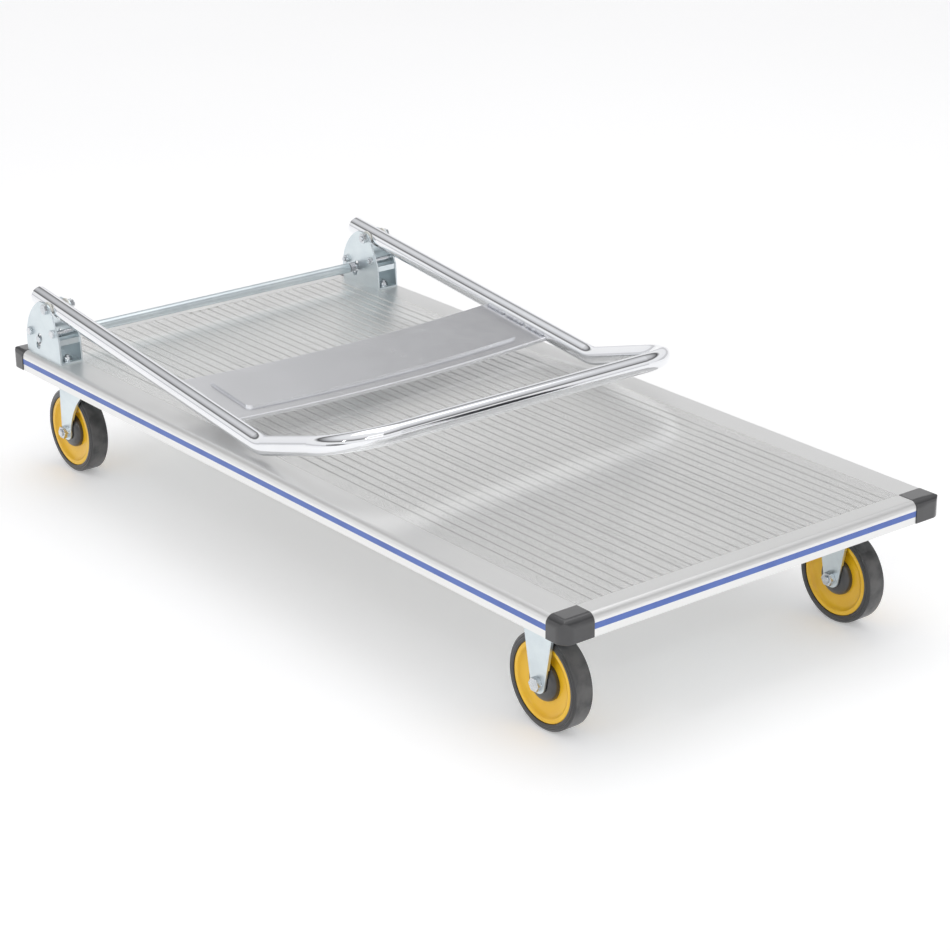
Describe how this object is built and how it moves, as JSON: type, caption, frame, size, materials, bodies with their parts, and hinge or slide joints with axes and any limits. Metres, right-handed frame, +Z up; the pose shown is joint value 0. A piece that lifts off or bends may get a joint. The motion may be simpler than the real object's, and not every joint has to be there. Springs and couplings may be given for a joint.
{
  "type": "folding platform cart",
  "caption": "Flat aluminium platform cart with a fold-down tubular handle, a foot-operated release bar, fixed casters at the front and swivel casters under the handle end.",
  "frame": {"origin": "on the floor, under the middle of the deck", "axes": "+X from the handle end to the front end, +Y to the left, +Z up"},
  "size_m": [1.513, 0.753, 0.3427],
  "materials": {
    "deck_aluminium": "satin anodised, lightly brushed along the ribs",
    "rail_aluminium": "satin anodised",
    "strip_blue": "satin blue",
    "cap_grey": "moulded, low gloss",
    "zinc_steel": "bright zinc plate",
    "fastener_steel": "zinc plate",
    "handle_chrome": "polished chrome plate",
    "panel_chrome": "polished chrome plate on pressed sheet",
    "bush_nylon": "natural nylon",
    "tyre_rubber": "grey rubber, slightly worn tread",
    "wheel_yellow": "moulded, glossy yellow",
    "cover_grey": "moulded, glossy dark grey",
    "bearing_steel": "ground steel",
    "spring_steel": "bright spring wire"
  },
  "bodies": {
    "deck": {"deck_plank_left": "deck_aluminium", "deck_plank_middle": "deck_aluminium", "deck_plank_right": "deck_aluminium", "side_rail_left": "rail_aluminium", "side_rail_right": "rail_aluminium", "end_rail_front": "rail_aluminium", "end_rail_rear": "rail_aluminium", "side_strips": "strip_blue", "end_strips": "strip_blue", "corner_cap_front_left": "cap_grey", "corner_cap_front_right": "cap_grey", "corner_cap_rear_left": "cap_grey", "corner_cap_rear_right": "cap_grey", "cross_plate_front": "zinc_steel", "cross_plate_rear": "zinc_steel", "frame_screws": "fastener_steel", "caster_bolts": "fastener_steel", "caster_nuts": "fastener_steel", "hinge_bracket_left": "zinc_steel", "hinge_bracket_right": "zinc_steel", "bracket_bolts": "fastener_steel", "bracket_nuts": "fastener_steel", "pivot_bolts": "fastener_steel", "pivot_nuts": "fastener_steel", "stop_bolts": "fastener_steel", "front_fork_left": "zinc_steel", "front_fork_right": "zinc_steel", "front_axles": "fastener_steel", "swivel_plate_left": "zinc_steel", "swivel_plate_right": "zinc_steel", "swivel_balls": "bearing_steel", "kingpins": "fastener_steel"},
    "handle": {"handle_tube": "handle_chrome", "handle_panel": "panel_chrome", "pivot_bushes": "bush_nylon"},
    "release_bar": {"release_bar": "zinc_steel", "release_pins": "fastener_steel", "return_springs": "spring_steel"},
    "swivel_left": {"rear_fork_left": "zinc_steel", "rear_axle_left": "fastener_steel"},
    "swivel_right": {"rear_fork_right": "zinc_steel", "rear_axle_right": "fastener_steel"},
    "front_left_wheel": {"tyre_front_left": "tyre_rubber", "wheel_front_left": "wheel_yellow", "covers_front_left": "cover_grey", "bearings_front_left": "bearing_steel"},
    "front_right_wheel": {"tyre_front_right": "tyre_rubber", "wheel_front_right": "wheel_yellow", "covers_front_right": "cover_grey", "bearings_front_right": "bearing_steel"},
    "rear_left_wheel": {"tyre_rear_left": "tyre_rubber", "wheel_rear_left": "wheel_yellow", "covers_rear_left": "cover_grey", "bearings_rear_left": "bearing_steel"},
    "rear_right_wheel": {"tyre_rear_right": "tyre_rubber", "wheel_rear_right": "wheel_yellow", "covers_rear_right": "cover_grey", "bearings_rear_right": "bearing_steel"}
  },
  "joints": [
    {"name": "handle_fold", "type": "hinge", "parent": "deck", "child": "handle", "pos_m": [-0.645, 0, 0.32], "axis": [0, -1, 0], "range_deg": [0, 96.5]},
    {"name": "release_press", "type": "slide", "parent": "deck", "child": "release_bar", "axis": [-0.3584, 0, -0.9336], "range_m": [-0.0045, 0.014], "stiffness_N_per_m": 1200, "springref_m": -0.0045},
    {"name": "front_left_spin", "type": "hinge", "parent": "deck", "child": "front_left_wheel", "pos_m": [0.633, 0.295, 0.075], "axis": [0, 1, 0], "continuous": true},
    {"name": "front_right_spin", "type": "hinge", "parent": "deck", "child": "front_right_wheel", "pos_m": [0.633, -0.295, 0.075], "axis": [0, 1, 0], "continuous": true},
    {"name": "swivel_left_turn", "type": "hinge", "parent": "deck", "child": "swivel_left", "pos_m": [-0.64, 0.295, 0.15], "axis": [0, 0, 1], "continuous": true},
    {"name": "swivel_right_turn", "type": "hinge", "parent": "deck", "child": "swivel_right", "pos_m": [-0.64, -0.295, 0.15], "axis": [0, 0, 1], "continuous": true},
    {"name": "rear_left_spin", "type": "hinge", "parent": "swivel_left", "child": "rear_left_wheel", "pos_m": [-0.678, 0.295, 0.075], "axis": [0, 1, 0], "continuous": true},
    {"name": "rear_right_spin", "type": "hinge", "parent": "swivel_right", "child": "rear_right_wheel", "pos_m": [-0.678, -0.295, 0.075], "axis": [0, 1, 0], "continuous": true}
  ]
}
